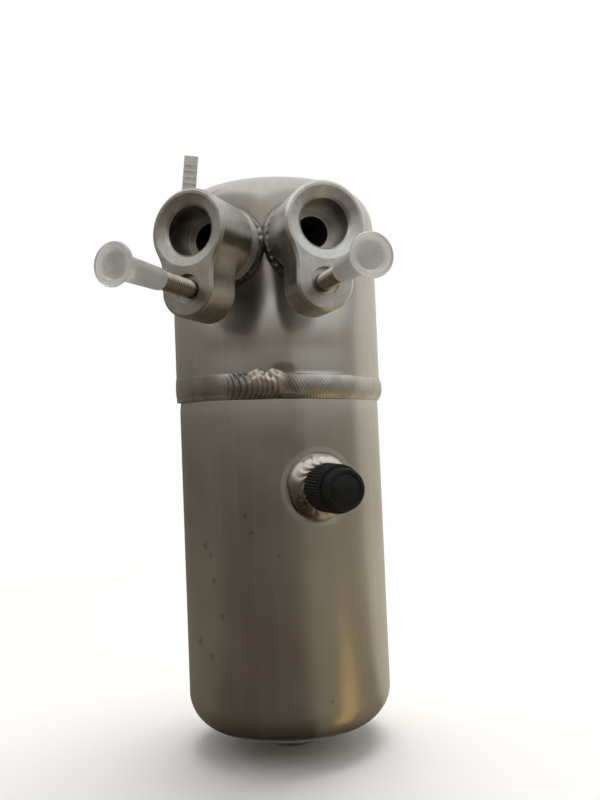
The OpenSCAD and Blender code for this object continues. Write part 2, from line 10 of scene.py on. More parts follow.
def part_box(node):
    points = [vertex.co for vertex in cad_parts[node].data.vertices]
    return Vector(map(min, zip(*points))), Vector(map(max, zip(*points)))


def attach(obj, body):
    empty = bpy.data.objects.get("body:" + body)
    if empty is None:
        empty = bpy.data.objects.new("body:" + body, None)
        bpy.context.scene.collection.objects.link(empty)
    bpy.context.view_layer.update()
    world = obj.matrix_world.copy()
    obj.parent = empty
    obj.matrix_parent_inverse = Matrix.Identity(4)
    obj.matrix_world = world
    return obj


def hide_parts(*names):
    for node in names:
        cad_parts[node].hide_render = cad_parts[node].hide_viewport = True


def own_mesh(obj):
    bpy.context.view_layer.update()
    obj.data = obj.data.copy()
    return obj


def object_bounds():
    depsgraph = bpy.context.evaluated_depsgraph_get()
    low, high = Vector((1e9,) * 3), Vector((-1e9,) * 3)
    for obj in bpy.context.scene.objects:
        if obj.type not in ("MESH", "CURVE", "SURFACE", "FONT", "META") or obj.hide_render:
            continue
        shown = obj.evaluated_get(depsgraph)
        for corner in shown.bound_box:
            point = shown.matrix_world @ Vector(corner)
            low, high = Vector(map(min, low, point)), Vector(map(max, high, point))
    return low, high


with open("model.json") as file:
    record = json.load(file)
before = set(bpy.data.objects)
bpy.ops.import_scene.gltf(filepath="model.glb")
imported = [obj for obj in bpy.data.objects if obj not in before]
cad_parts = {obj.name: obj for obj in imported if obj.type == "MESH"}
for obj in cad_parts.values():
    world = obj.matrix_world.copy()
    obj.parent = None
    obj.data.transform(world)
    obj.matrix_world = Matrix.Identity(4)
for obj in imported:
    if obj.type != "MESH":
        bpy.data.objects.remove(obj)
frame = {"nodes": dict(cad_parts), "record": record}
cad_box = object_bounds()

# Places taken from the frame; lengths are in millimetres unless a comment says metres

MM = 0.001
nodes = frame["nodes"]
mounts = {m["name"]: m for m in frame["record"]["mounts"]}


def axis_place(mount, at=None):
    """Matrix in metres from a local frame, +Z along a mount's axis and +X level, to the part's frame."""
    z = Vector(mounts[mount]["axis"]).normalized()
    x = Vector((0, 0, 1)).cross(z).normalized()
    y = z.cross(x)
    place = Matrix((x, y, z)).transposed().to_4x4()
    place.translation = Vector(mounts[mount]["pos_m"] if at is None else at)
    return place


def reach(node, place):
    """Lowest and highest place of a node along a local Z axis, and its largest radius."""
    corners = nodes[node].data.vertices
    points = np.empty(len(corners) * 3)
    corners.foreach_get("co", points)
    inverse = np.array(place.inverted())
    local = (points.reshape(-1, 3) / MM) @ inverse[:3, :3].T + inverse[:3, 3] / MM
    return local[:, 2].min(), local[:, 2].max(), np.hypot(local[:, 0], local[:, 1]).max()


lower_low, lower_high = (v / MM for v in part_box("lower_shell"))
upper_low, upper_high = (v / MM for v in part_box("upper_shell"))
_, weld_high = (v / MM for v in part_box("girth_weld"))
can_r = lower_high.x
upper_r = upper_high.x
crest_r = weld_high.x
top_z = upper_high.z
edge_z = upper_low.z
rim_z = lower_high.z
pad_z = lower_low.z
inlet_place = axis_place("inlet_port")
outlet_place = axis_place("outlet_port")
inlet_stud_place = axis_place("inlet_stud")
outlet_stud_place = axis_place("outlet_stud")
service_place = axis_place("service_nose", (0, 0, mounts["service_nose"]["pos_m"][2]))

# Sizes of the solids that the frame doesn't give

wall = 2
lap_step = 4
seam_z = edge_z - lap_step
shank_r = 7.0
neck_r = 12.0
hole_clearance = 0.05


# Mesh helpers

SAME_POINT = 1e-4
ON_AXIS = 1e-6


def mesh_object(name, vertices, faces, place=None, sharp=35, marks=None):
    """Object made of points, smooth but for edges sharper than an angle in degrees. Its material reads the
    marks, values per point, by name."""
    mesh = bpy.data.meshes.new(name)
    mesh.from_pydata((np.asarray(vertices, float) * MM).tolist(), [], faces)
    builder = bmesh.new()
    builder.from_mesh(mesh)
    bmesh.ops.recalc_face_normals(builder, faces=builder.faces)
    builder.to_mesh(mesh)
    builder.free()
    if place is not None:
        mesh.transform(place)
    mesh.polygons.foreach_set("use_smooth", [True] * len(mesh.polygons))
    mesh.set_sharp_from_angle(angle=math.radians(sharp))
    for key, values in (marks or {}).items():
        layer = mesh.attributes.new(key, "FLOAT", "POINT")
        layer.data.foreach_set("value", np.ravel(values).astype(np.float32))
    piece = bpy.data.objects.new(name, mesh)
    bpy.context.scene.collection.objects.link(piece)
    return piece


def quads(rows, count, rows_loop, row_closed):
    """Faces between rows of points. The last row may join the first, and the end of each row its start."""
    faces = []
    for row in range(rows if rows_loop else rows - 1):
        this, following = row * count, (row + 1) % rows * count
        for i in range(count if row_closed else count - 1):
            j = (i + 1) % count
            faces.append((this + i, this + j, following + j, following + i))
    return faces


def grid_ring(name, grid, place=None, marks=None):
    """Closed ring from rows of points, each row a loop; the last row joins the first."""
    rows, around = grid.shape[:2]
    return mesh_object(name, grid.reshape(-1, 3), quads(rows, around, True, True), place, 50, marks)


def capped_tube(name, rings, place):
    """Tube through rings of points, closed at both ends."""
    count, around = rings.shape[:2]
    faces = quads(count, around, False, True)
    faces.append(tuple(range(around)))
    faces.append(tuple((count - 1) * around + i for i in range(around)))
    return mesh_object(name, rings.reshape(-1, 3), faces, place, 60)


def arc(centre, radius, start, end, steps):
    """Points on an arc from one angle to another, in degrees."""
    angles = np.radians(np.linspace(start, end, steps + 1))
    return [(centre[0] + radius * math.cos(a), centre[1] + radius * math.sin(a)) for a in angles]


def line(start, end, steps):
    """Points on a straight line, both ends included."""
    t = np.linspace(0, 1, steps + 1)[:, None]
    return [tuple(p) for p in np.asarray(start) * (1 - t) + np.asarray(end) * t]


def shifted(points, dz, flip=1):
    """Outline moved up by dz, after a flip of its heights if flip is -1."""
    return [(r, dz + flip * z) for r, z in points]


def join_runs(*runs):
    """One outline from several runs of points, without doubled points."""
    outline = []
    for run in runs:
        for p in run:
            if not outline or math.dist(p, outline[-1]) > SAME_POINT:
                outline.append((float(p[0]), float(p[1])))
    return outline


def full_turn(count):
    """Evenly spaced angles round a circle, in radians."""
    return np.linspace(0, 2 * math.pi, count, endpoint=False)


def lathe(name, profile, segments, place=None, sharp=35, shape=None, closed=True):
    """Revolved outline of (radius, height) points. shape moves a ring, given its number, radius, height and
    turn. A closed outline's end joins its start."""
    turn = full_turn(segments)
    vertices, rings = [], []
    for number, (r, z) in enumerate(profile):
        start = len(vertices)
        if r < ON_AXIS:
            vertices.append((0, 0, z))
            rings.append([start] * segments)
            continue
        radius, height = np.full(segments, r), np.full(segments, z)
        if shape is not None:
            radius, height = shape(number, radius, height, turn)
        ring = np.stack([radius * np.sin(turn), -radius * np.cos(turn), height], 1)
        vertices.extend(ring.tolist())
        rings.append(list(range(start, start + segments)))
    faces = []
    pairs = list(zip(rings, rings[1:])) + ([(rings[-1], rings[0])] if closed else [])
    for a, b in pairs:
        for i in range(segments):
            j = (i + 1) % segments
            corners = [a[i], a[j], b[j], b[i]]
            face = [c for k, c in enumerate(corners) if c not in corners[:k]]
            if len(face) > 2:
                faces.append(face)
    return mesh_object(name, vertices, faces, place, sharp)


def smooth_step(x, low, high):
    """0 below low, 1 above high, smooth between."""
    t = np.clip((np.asarray(x, float) - low) / (high - low), 0, 1)
    return t * t * (3 - 2 * t)


def window(x, rise, fall):
    """1 between a rise and a fall, each a (low, high) pair, and 0 beyond them."""
    return smooth_step(x, *rise) * (1 - smooth_step(x, *fall))


def soft_min(values, softness):
    """Smooth least of several arrays."""
    stack = np.stack(values)
    least = stack.min(0)
    return least - softness * np.log(np.exp((least - stack) / softness).sum(0))


def bump_at(angle, centre, width):
    """Bell round an angle, in degrees."""
    away = (np.asarray(angle) - centre + 180) % 360 - 180
    return np.exp(-((away / width) ** 2))


def rubble(x, y, size, seed):
    """Uneven height of about -1 to 1 over a surface, with lumps of a given size."""
    waves, steepness = 14, 4
    rng = np.random.default_rng(seed)
    total = np.zeros(np.broadcast(x, y).shape)
    for _ in range(waves):
        way, phase = rng.uniform(0, 2 * math.pi, 2)
        pace = rng.uniform(0.6, 1.6) * math.pi / size
        total = total + np.sin(pace * (x * math.cos(way) + y * math.sin(way)) + phase)
    return total / steepness


def can_point(angle, z, radius):
    """Point on the can in metres, from its angle off the front ridge in degrees and its height."""
    a = math.radians(angle)
    return (radius * math.sin(a) * MM, -radius * math.cos(a) * MM, z * MM)


# Material helpers


class Graph:
    """Material whose nodes are added by short calls."""

    NUMBER_RESULTS = ("LENGTH", "DOT_PRODUCT", "DISTANCE")

    def __init__(self, name):
        self.material = bpy.data.materials.new(name)
        self.material.use_nodes = True
        self.tree = self.material.node_tree
        self.shader = self.tree.nodes["Principled BSDF"]
        self.point = self.add("ShaderNodeTexCoord").outputs["Object"]

    def add(self, kind, inputs=None, **settings):
        """New node with its settings, and with its inputs set or linked."""
        node = self.tree.nodes.new(kind)
        for key, value in settings.items():
            setattr(node, key, value)
        for key, value in (inputs or {}).items():
            self.feed(node.inputs[key], value)
        return node

    def feed(self, socket, value):
        """Links a socket to another one, or sets its value."""
        if isinstance(value, bpy.types.NodeSocket):
            self.tree.links.new(value, socket)
        else:
            socket.default_value = value

    def set(self, **values):
        """Sets shader inputs, with _ for a space in their names."""
        for key, value in values.items():
            name = key.replace("_", " ")
            if name.endswith("Color") and isinstance(value, tuple):
                value = (*value, 1)
            self.feed(self.shader.inputs[name], value)

    def math(self, operation, a, b=0.0):
        """Result of an operation on one or two numbers."""
        return self.add("ShaderNodeMath", {0: a, 1: b}, operation=operation).outputs[0]

    def times(self, a, b):
        """Product of two numbers."""
        return self.math("MULTIPLY", a, b)

    def vector(self, operation, a, b=(0, 0, 0)):
        """Result of an operation on vectors, which for some is a number."""
        node = self.add("ShaderNodeVectorMath", {0: a, 1: b}, operation=operation)
        return node.outputs["Value"] if operation in self.NUMBER_RESULTS else node.outputs[0]

    def height(self):
        """Height of the shaded point."""
        return self.math("DIVIDE", self.add("ShaderNodeSeparateXYZ", {0: self.point}).outputs[2], MM)

    def stretch(self, scale, vector=None):
        """Coordinates in millimetres, multiplied per axis."""
        scale = tuple(s / MM for s in scale)
        return self.vector("MULTIPLY", vector or self.point, scale)

    def noise(self, scale, detail=3.0, rough=0.5):
        """Noise with features of about 1 / scale millimetres, per axis."""
        scale = scale if isinstance(scale, tuple) else (scale,) * 3
        inputs = {"Vector": self.stretch(scale), "Scale": 1.0, "Detail": detail, "Roughness": rough}
        return self.add("ShaderNodeTexNoise", inputs).outputs["Fac"]

    def ragged(self, value, scale, amount, detail=3.0, rough=0.5):
        """A measure with noise added, so that what fades out by it has an uneven edge."""
        return self.math("ADD", value, self.times(self.noise(scale, detail, rough), amount))

    def band(self, value, low, high, start=0.0, end=1.0):
        """Smooth ramp of a value from start at low to end at high."""
        inputs = {"Value": value, 1: low, 2: high, 3: start, 4: end}
        return self.add("ShaderNodeMapRange", inputs, interpolation_type="SMOOTHSTEP").outputs[0]

    def mix(self, factor, a, b):
        """Mix of two colours."""
        node = self.add("ShaderNodeMix", data_type="RGBA")
        self.feed(node.inputs[0], factor)
        for socket, value in ((node.inputs[6], a), (node.inputs[7], b)):
            self.feed(socket, (*value, 1) if isinstance(value, tuple) else value)
        return node.outputs[2]

    def bump(self, height, distance, strength, normal=None):
        """Normal from a height of 0 to 1 that stands for a distance."""
        inputs = {"Height": height, "Distance": distance * MM, "Strength": strength}
        if normal is not None:
            inputs["Normal"] = normal
        return self.add("ShaderNodeBump", inputs).outputs[0]

    def mark(self, name):
        """Value per point that the mesh carries under a name, 0 where it has none."""
        return self.add("ShaderNodeAttribute", attribute_name=name).outputs["Fac"]

    def blot(self, place, size):
        """1 at a point on the part, fading out at a ragged distance of about a given size."""
        away = self.math("DIVIDE", self.vector("DISTANCE", self.point, place), MM)
        away = self.ragged(away, 1.6 / size, 2 * size, 4, 0.6)
        return self.band(away, 1.2 * size, 1.9 * size, 1.0, 0.0)

    def polar(self, place):
        """Radius from a local axis, height along it, and the way out from the axis."""
        origin, axis = place.translation, tuple(place.to_3x3().col[2])
        offset = self.vector("SUBTRACT", self.point, tuple(origin))
        height = self.vector("DOT_PRODUCT", offset, axis)
        along = self.add("ShaderNodeVectorMath", {0: axis, "Scale": height}, operation="SCALE")
        out = self.vector("SUBTRACT", offset, along.outputs[0])
        radius = self.vector("LENGTH", out)
        way_out = self.vector("NORMALIZE", out)
        return self.math("DIVIDE", radius, MM), self.math("DIVIDE", height, MM), way_out


# Tones of the metals and of what is on them

SHELL_TONE = (0.55, 0.535, 0.50)
SHELL_DARK = (0.48, 0.465, 0.43)
SHELL_PALE = (0.64, 0.625, 0.59)
STAIN_BROWN = (0.17, 0.135, 0.10)
HEAT_BROWN = (0.25, 0.195, 0.145)
SCUFF_TONE = (0.20, 0.19, 0.17)
# Soot and painted shade on the weld beads
BEAD_SOOT_AND_SHADE = (0.06, 0.052, 0.044)
# Pale duller metal of the weld lumps, with a painted highlight
LUMP_PALE_GLINT = (0.93, 0.84, 0.76)
DIRT_TONE = (0.22, 0.20, 0.17)
# Painted highlight along the blocks' edges
EDGE_GLINT_TONE = (0.86, 0.86, 0.85)
STUD_TONE = (0.58, 0.55, 0.48)
STUD_DULL = (0.38, 0.32, 0.22)
# Painted shade in the thread roots
THREAD_ROOT_SHADE = (0.05, 0.038, 0.024)
# Painted shade on the cable tie's lower side
TIE_SHADE = (0.09, 0.08, 0.07)

# Roughness of metals; a range that crosses about 0.27 renders speckled, so each keeps to one side of it
SHELL_ROUGH = (0.285, 0.345)
BLOCK_ROUGH = (0.285, 0.37)
STUD_ROUGH = (0.14, 0.26)
PLAIN_ROUGH = 0.285

# Marks on the shells: the reach over which each fades, and the depth that keeps it off the can's far side
SEAM_PALE_REACH = (2.0, 4.2)
HEAT_ANGLE, HEAT_RISE = 8.2, 2.8
HEAT_REACH = (3.8, 6.4)
NECK_SOOT_REACH = (14.6, 17.2)
NECK_SOOT_DEPTH = (-40, -30)
HALO_INNER, HALO_OUTER = (12.4, 12.8), (13.8, 14.6)
HALO_DEPTH = (0, 10)
# Dark scuffs on the lower shell: angle off the ridge, height and size
SCUFFS = ((-42, 25, 2.2), (-38, 22, 1.4), (-36, 13, 1.5), (-31, 1, 1.6), (-50, -9, 2.0), (-40, -13, 1.8),
          (-44, -37, 2.0), (-15, 36, 1.2), (-12, 30, 1.6), (2, 22, 1.0), (27, -28, 0.9))


# Materials


def drawn_aluminium(name, upper):
    """Satin drawn shell with faint upright streaks and the marks of the upper or the lower shell."""
    g = Graph(name)
    blotch = g.noise(0.03, detail=4)
    streak = g.noise((0.4, 0.4, 0.008), detail=4, rough=0.6)
    fine = g.noise((0.9, 0.9, 0.015), detail=1)
    colour = g.mix(g.band(blotch, 0.3, 0.7), SHELL_DARK, SHELL_TONE)
    colour = g.mix(g.times(g.band(streak, 0.45, 0.75), 0.3), colour, SHELL_PALE)
    rough = g.band(g.noise(0.06, rough=0.55), 0.3, 0.7, *SHELL_ROUGH)
    from_seam = g.math("ABSOLUTE", g.math("SUBTRACT", g.height(), weld_high.z if upper else seam_z))
    near_seam = g.band(g.ragged(from_seam, 0.35, 3.0), *SEAM_PALE_REACH, 0.4, 0.0)
    colour = g.mix(near_seam, colour, SHELL_PALE)
    if upper:
        colour = heat_and_soot(g, colour)
    else:
        colour, halo = scuffs_and_halo(g, colour)
        rough = g.math("ADD", rough, g.times(halo, 0.12))
    normal = g.bump(fine, 0.012, 0.25)
    normal = g.bump(g.noise(0.10, detail=2), 0.08, 0.22, normal)
    g.set(Base_Color=colour, Metallic=1.0, Roughness=rough, Normal=normal)
    return g.material


def heat_and_soot(g, colour):
    """Brown heat stain over the girth weld's crater, and soot round both necks."""
    offset = g.vector("SUBTRACT", g.point, can_point(HEAT_ANGLE, weld_high.z + HEAT_RISE, upper_r))
    away = g.vector("LENGTH", g.stretch((1.0, 1.0, 1.5), offset))
    colour = g.mix(g.band(g.ragged(away, 0.5, 1.8), *HEAT_REACH, 0.8, 0.0), colour, HEAT_BROWN)
    for place in (inlet_place, outlet_place):
        radius, depth, _ = g.polar(place)
        soot = g.band(g.ragged(radius, 0.8, 3.0, detail=4), *NECK_SOOT_REACH, 0.6, 0.0)
        soot = g.times(soot, g.band(depth, *NECK_SOOT_DEPTH))
        colour = g.mix(soot, colour, STAIN_BROWN)
    return colour


def scuffs_and_halo(g, colour):
    """Dark scuffs, and a pale dull ring round the service port, which is also given by itself."""
    for angle, z, size in SCUFFS:
        scuff = g.times(g.blot(can_point(angle, z, can_r), size), 0.55)
        colour = g.mix(scuff, colour, SCUFF_TONE)
    radius, depth, _ = g.polar(service_place)
    away = g.ragged(radius, 0.5, 1.0)
    halo = g.times(g.band(away, *HALO_INNER), g.band(away, *HALO_OUTER, 1.0, 0.0))
    halo = g.times(halo, g.band(depth, *HALO_DEPTH))
    return g.mix(g.times(halo, 0.55), colour, SHELL_PALE), halo


def weld_metal(name, tone, soot, rough, grit):
    """Bead with soot and painted shade in the hollows, brown stains, and pale duller lumps that carry a
    painted highlight, all where its mesh marks them.
    """
    g = Graph(name)
    grain = g.noise(0.9, rough=0.6)
    patches = g.noise(0.16)
    colour = g.mix(g.band(patches, 0.35, 0.65), tuple(0.78 * c for c in tone), tone)
    # Soot and painted shade where the mesh marks hollows, edges and lower sides; soot sets how dark it is
    hollow = g.times(g.mark("hollow"), g.band(grain, 0.25, 0.65, 0.7, 1.0))
    colour = g.mix(g.times(hollow, soot), colour, BEAD_SOOT_AND_SHADE)
    colour = g.mix(g.mark("stain"), colour, STAIN_BROWN)
    # Pale lumps, partly a painted highlight
    colour = g.mix(g.mark("pale"), colour, LUMP_PALE_GLINT)
    duller = g.times(g.mark("pale"), 0.12)
    shine = g.math("ADD", g.band(grain, 0.3, 0.8, rough, rough + 0.06), duller)
    g.set(Base_Color=colour, Metallic=1.0, Roughness=shine, Normal=g.bump(grain, grit, 0.5))
    return g.material


def machined_aluminium(name, place, stud_place, dull, clean):
    """Milled block: turned rings round its bore and stud, fine marks elsewhere, and a painted highlight along
    its edges.
    """
    g = Graph(name)
    radius, depth, out = g.polar(place)
    stud_radius = g.polar(stud_place)[0]
    waver = g.times(g.noise(0.5, detail=2), 0.5)
    rings = g.math("SINE", g.times(g.math("ADD", radius, waver), 6.0))
    stud_rings = g.math("SINE", g.times(g.math("ADD", stud_radius, waver), 5.0))
    near_stud = g.band(stud_radius, 4.6, 8.0, 1.0, 0.0)
    near_bore = g.band(radius, 12.6, 13.4, 1.0, 0.0)
    marks = g.math("ADD", g.times(stud_rings, near_stud), g.times(rings, near_bore))
    lay = g.math("SINE", g.times(depth, 5.0))
    smudge = g.noise(0.18, detail=4, rough=0.6)
    colour = g.mix(g.band(smudge, 0.35, 0.7), dull, clean)
    dirt = g.times(g.band(g.noise(0.5), 0.60, 0.75), 0.2)
    colour = g.mix(dirt, colour, DIRT_TONE)
    rounded = g.add("ShaderNodeBevel", {"Radius": 0.35 * MM}, samples=6).outputs[0]
    facing = g.vector("DOT_PRODUCT", rounded, g.add("ShaderNodeNewGeometry").outputs["Normal"])
    # Painted highlight along the rounded edges, in patches
    edge_glint = g.times(g.band(facing, 0.93, 0.99, 1.0, 0.0), g.band(g.noise(0.7), 0.35, 0.6))
    colour = g.mix(edge_glint, colour, EDGE_GLINT_TONE)
    normal = g.bump(marks, 0.010, 0.4, rounded)
    normal = g.bump(g.math("ADD", lay, g.noise(0.8, detail=1)), 0.006, 0.35, normal)
    g.set(Base_Color=colour, Metallic=1.0, Roughness=g.band(smudge, 0.3, 0.75, *BLOCK_ROUGH), Normal=normal,
          Tangent=out, Anisotropic=g.times(near_bore, 0.8))
    return g.material


def plated_steel(name, place, crest_radius):
    """Plated thread, with painted shade, browner and darker, in its root."""
    g = Graph(name)
    root = g.band(g.polar(place)[0], crest_radius - 0.4, crest_radius - 0.05, 1.0, 0.0)
    grain = g.noise(0.5, rough=0.6)
    colour = g.mix(g.band(grain, 0.35, 0.7, 0.0, 0.5), STUD_TONE, STUD_DULL)
    # Painted shade in the thread's root
    colour = g.mix(g.times(root, 0.9), colour, THREAD_ROOT_SHADE)
    g.set(Base_Color=colour, Metallic=1.0, Roughness=g.band(grain, 0.3, 0.8, *STUD_ROUGH),
          Normal=g.bump(g.noise(1.0, detail=2), 0.006, 0.3))
    return g.material


def frosted_plastic(name, tone, warm, clear, rough, shade_below_place=None):
    """Milky plastic that lets light through, with flow marks, and painted shade below a place's height if one
    is given.
    """
    g = Graph(name)
    cloud = g.noise(0.22, detail=4)
    colour = g.mix(g.band(cloud, 0.3, 0.7), warm, tone)
    if shade_below_place is not None:
        # Painted shade below the place's height
        above = g.math("SUBTRACT", g.height(), shade_below_place.translation.z / MM)
        colour = g.mix(g.band(above, -6.0, 6.0, 0.85, 0.0), colour, TIE_SHADE)
    g.set(Base_Color=colour, Roughness=g.band(g.noise(0.8), 0.3, 0.8, rough, rough + 0.12),
          Transmission_Weight=clear, IOR=1.5, Normal=g.bump(g.noise(1.2), 0.02, 0.3))
    return g.material


def moulded_plastic(name, tone, pale, rough, grain):
    """Plain moulding with worn, paler patches and a fine grain of a given depth."""
    g = Graph(name)
    wear = g.noise(0.35, detail=5, rough=0.65)
    colour = g.mix(g.band(wear, 0.55, 0.8), tone, pale)
    g.set(Base_Color=colour, Roughness=g.band(wear, 0.3, 0.8, rough - 0.06, rough + 0.1),
          Specular_IOR_Level=0.3, Normal=g.bump(g.noise(4.5, rough=0.6), grain, 0.6))
    return g.material


def plain_metal(name, tone, deep, rough):
    """Metal of an inner piece, with fine drawing lines and dull patches."""
    g = Graph(name)
    patch = g.noise(0.25, detail=4, rough=0.6)
    colour = g.mix(g.band(patch, 0.35, 0.7), tone, deep)
    g.set(Base_Color=colour, Metallic=1.0, Roughness=g.band(patch, 0.3, 0.8, rough, rough + 0.15),
          Normal=g.bump(g.noise((2.5, 2.5, 0.1)), 0.01, 0.3))
    return g.material


def needled_felt(name):
    """Felt of the drying bag: matted fibres with a soft sheen."""
    g = Graph(name)
    fibres = g.noise((3.0, 3.0, 0.7), detail=6, rough=0.7)
    colour = g.mix(g.band(fibres, 0.3, 0.75), (0.62, 0.59, 0.52), (0.86, 0.84, 0.78))
    g.set(Base_Color=colour, Roughness=0.95, Sheen_Weight=0.3, Normal=g.bump(fibres, 0.25, 0.8))
    return g.material


def wire_cloth(name):
    """Woven strainer cloth: crossed wires with dark gaps."""
    g = Graph(name)
    split = g.add("ShaderNodeSeparateXYZ", {0: g.stretch((1, 1, 1))})
    turn = g.math("ARCTAN2", split.outputs[0], split.outputs[1])
    weft = g.math("ABSOLUTE", g.math("SINE", g.times(split.outputs[2], 9.0)))
    warp = g.math("ABSOLUTE", g.math("SINE", g.times(turn, 60.0)))
    weave = g.math("MAXIMUM", weft, warp)
    colour = g.mix(g.band(weave, 0.6, 0.95), (0.04, 0.04, 0.04), (0.5, 0.5, 0.49))
    g.set(Base_Color=colour, Metallic=0.9, Roughness=0.35, Normal=g.bump(weave, 0.08, 0.7))
    return g.material


lower_metal = drawn_aluminium("drawn_aluminium_lower", upper=False)
upper_metal = drawn_aluminium("drawn_aluminium_upper", upper=True)
bead_metal = weld_metal("weld_bead_girth", (0.62, 0.605, 0.57), soot=0.9, rough=PLAIN_ROUGH, grit=0.005)
sooty_metal = weld_metal("weld_bead_sooty", (0.42, 0.395, 0.355), soot=0.9, rough=0.34, grit=0.10)
shiny_metal = weld_metal("weld_bead_service", (0.80, 0.75, 0.69), soot=0.95, rough=PLAIN_ROUGH, grit=0.003)
# The inlet block has darker tones, the outlet block paler ones and the service port tones between: painted
# shade and painted light on one finish
inlet_metal = machined_aluminium("machined_inlet", inlet_place, inlet_stud_place,
                                 dull=(0.40, 0.385, 0.35), clean=(0.50, 0.485, 0.45))
outlet_metal = machined_aluminium("machined_outlet", outlet_place, outlet_stud_place,
                                  dull=(0.57, 0.565, 0.54), clean=(0.69, 0.69, 0.675))
port_metal = machined_aluminium("machined_service_port", service_place, service_place,
                                dull=(0.47, 0.46, 0.43), clean=(0.58, 0.575, 0.555))
cap_plastic = frosted_plastic("frosted_stud_cap", (0.86, 0.86, 0.84), (0.78, 0.77, 0.73), 0.65, rough=0.34)
tie_plastic = frosted_plastic("frosted_tie", (0.74, 0.73, 0.69), (0.64, 0.62, 0.57), 0.2, rough=0.4,
                              shade_below_place=inlet_place)
black_plastic = moulded_plastic("black_dust_cap", (0.006, 0.0065, 0.007), (0.014, 0.015, 0.016),
                                rough=0.55, grain=0.05)
rubber = moulded_plastic("black_rubber", (0.012, 0.012, 0.012), (0.03, 0.03, 0.03), rough=0.7, grain=0.03)
strap_plastic = moulded_plastic("strap_nylon", (0.03, 0.03, 0.032), (0.07, 0.07, 0.07),
                                rough=0.45, grain=0.03)
cage_plastic = moulded_plastic("cage_nylon", (0.78, 0.76, 0.70), (0.86, 0.85, 0.80), rough=0.4, grain=0.03)
valve_brass = plain_metal("turned_brass", (0.62, 0.47, 0.22), (0.5, 0.36, 0.16), PLAIN_ROUGH)
spring_steel = plain_metal("spring_wire", (0.58, 0.57, 0.55), (0.4, 0.39, 0.37), PLAIN_ROUGH)
tube_metal = plain_metal("tube_aluminium", (0.62, 0.61, 0.58), (0.5, 0.49, 0.46), 0.3)

node_materials = {
    "inlet_block": inlet_metal, "outlet_block": outlet_metal, "service_port": port_metal,
    "service_cap_seal": rubber, "valve_seal": rubber,
    "valve_core": valve_brass, "valve_pin": valve_brass,
    "pickup_tube": tube_metal, "baffle": tube_metal, "oil_filter_cage": cage_plastic,
    "oil_filter_screen": wire_cloth("wire_cloth"), "desiccant_bag": needled_felt("needled_felt"),
    "bag_strap": strap_plastic, "cable_tie": tie_plastic,
}
for name, material in node_materials.items():
    nodes[name].data.materials.clear()
    nodes[name].data.materials.append(material)


def dress(piece, material, node, body):
    """Gives a new piece its finish and its body, and hides the CAD node that it stands for."""
    piece.data.materials.append(material)
    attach(piece, body)
    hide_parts(node)
    return piece


# Shells

CAN_SEGMENTS = 256
base_corner_r = 12
base_dome_r = 80
pad_r = 10
pad_h = 3.2
pad_edge_r = 1.6
pad_fillet_r = 2.2
# Draw-in of the lower shell under the bead, up to a height over the seam
seam_draw, seam_draw_h = 0.3, 3
shoulder_r = 15
top_dome_r = 150
outlet_axis = outlet_place.to_3x3().col[2]
flat_angle = math.degrees(math.atan2(outlet_axis.x, -outlet_axis.y))
# Depths of the flats, and the heights over the seam at which they start and deepen
flat_foot_depth, flat_depth = 0.9, 3.4
flat_start_h, flat_foot_h, flat_step_h, flat_full_h = 10, 21, 23, 41
flat_softness = 0.8
# Lean of the ridge between the flats to the right, in degrees, below a height over the seam
ridge_lean, lean_low_h, lean_high_h = 3.4, 34, 64
# Reach of the holes along the axes of the necks and of the service port
neck_hole_reach = (-30, 0)
shank_hole_reach = (30, 60)


def dome_run(r, corner, dome, inner_r, steps):
    """Points of a domed end, pole down, from a radius near its pole to the top of its corner."""
    rise = dome - math.sqrt((dome - corner) ** 2 - (r - corner) ** 2)
    lean = math.degrees(math.asin((r - corner) / (dome - corner)))
    start = math.degrees(math.asin(inner_r / dome))
    end = arc((0, dome), dome, start - 90, lean - 90, steps)
    return end + arc((r - corner, rise), corner, lean - 90, 0, 16)


def make_lower_shell():
    """Drawn cup with a pressed pad and a necked rim, closed at both faces of its wall."""
    base_z = pad_z + pad_h
    fillet_reach = pad_r + pad_fillet_r
    fillet_drop = math.sqrt((base_dome_r + pad_fillet_r) ** 2 - fillet_reach ** 2)
    fillet_end = 90 + math.degrees(math.atan2(fillet_reach, fillet_drop))
    pad = [(0, pad_z)] + arc((pad_r - pad_edge_r, pad_z + pad_edge_r), pad_edge_r, -90, 0, 12)
    pad += arc((fillet_reach, base_z + base_dome_r - fillet_drop), pad_fillet_r, 180, fillet_end, 8)
    foot_r = fillet_reach * base_dome_r / (base_dome_r + pad_fillet_r)
    outside = shifted(dome_run(can_r, base_corner_r, base_dome_r, foot_r, 16), base_z)
    side = line(outside[-1], (can_r, seam_z), 10)
    rim_r = upper_r - wall
    neck = [(can_r - seam_draw, seam_z + seam_draw_h), (rim_r, edge_z)]
    rim = [(rim_r, rim_z), (rim_r - wall, rim_z), (rim_r - wall, edge_z)]
    inner_dome = dome_run(can_r - wall, base_corner_r - wall, base_dome_r - wall, pad_r - wall, 12)
    inner_wall = [(can_r - wall, seam_z)] + shifted(inner_dome, base_z + wall)[::-1]
    inner_pad = [(pad_r - wall, pad_z + wall), (0, pad_z + wall)]
    profile = join_runs(pad, outside, side, neck, rim, inner_wall, inner_pad)
    return lathe("lower_shell_drawn", profile, CAN_SEGMENTS, sharp=12, closed=False)


